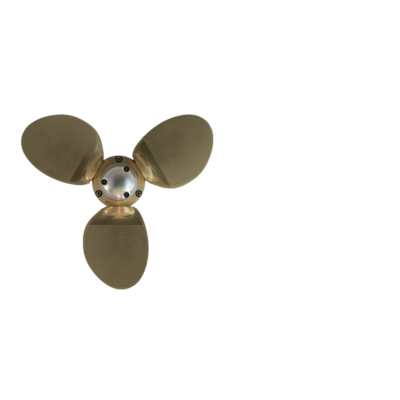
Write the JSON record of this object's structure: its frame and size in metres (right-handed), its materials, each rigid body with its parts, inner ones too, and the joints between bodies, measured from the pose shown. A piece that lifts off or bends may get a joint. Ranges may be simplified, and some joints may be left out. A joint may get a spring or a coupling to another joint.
{
  "type": "feathering ship propeller",
  "caption": "Feathering ship propeller: broad rounded blades turn about their own axes in a ball-shaped split bronze hub with a tapered keyed shaft bore and a bolted-on anode dome.",
  "frame": {"origin": "on the shaft axis at the forward face of the shaft boss, which is the face the propeller stands on", "axes": "+Z along the shaft axis and aft, towards the anode dome; -Y along the first blade"},
  "size_m": [0.3864, 0.352, 0.123],
  "materials": {
    "hub_bronze": "turned and polished cast bronze, lightly tarnished",
    "blade_bronze": "satin ground cast bronze with fine dark grain, smoother at the root",
    "anode_alloy": "machined bright metal with faint turning marks",
    "screw_steel": "dark stainless steel, bright on the chamfers"
  },
  "bodies": {
    "hub": {"hub_forward_half": "hub_bronze", "hub_aft_half": "hub_bronze", "shaft_boss": "hub_bronze", "anode_dome": "anode_alloy", "anode_screw_1": "screw_steel", "anode_screw_2": "screw_steel", "anode_screw_3": "screw_steel", "hub_bolt_1": "screw_steel", "hub_bolt_2": "screw_steel", "hub_bolt_3": "screw_steel"},
    "blade_1": {"blade_1": "blade_bronze"},
    "blade_2": {"blade_2": "blade_bronze"},
    "blade_3": {"blade_3": "blade_bronze"}
  },
  "joints": [
    {"name": "blade_1_turn", "type": "hinge", "parent": "hub", "child": "blade_1", "pos_m": [0, -0.048, 0.056], "axis": [0, 1, 0], "range_deg": [0, 180]},
    {"name": "blade_2_turn", "type": "hinge", "parent": "hub", "child": "blade_2", "pos_m": [0.04157, 0.024, 0.056], "axis": [-0.866, -0.5, 0], "range_deg": [0, 180]},
    {"name": "blade_3_turn", "type": "hinge", "parent": "hub", "child": "blade_3", "pos_m": [-0.04157, 0.024, 0.056], "axis": [0.866, -0.5, 0], "range_deg": [0, 180]}
  ],
  "couplings": [
    {"joint": "blade_2_turn", "follows": "blade_1_turn", "ratio": 1},
    {"joint": "blade_3_turn", "follows": "blade_1_turn", "ratio": 1}
  ]
}
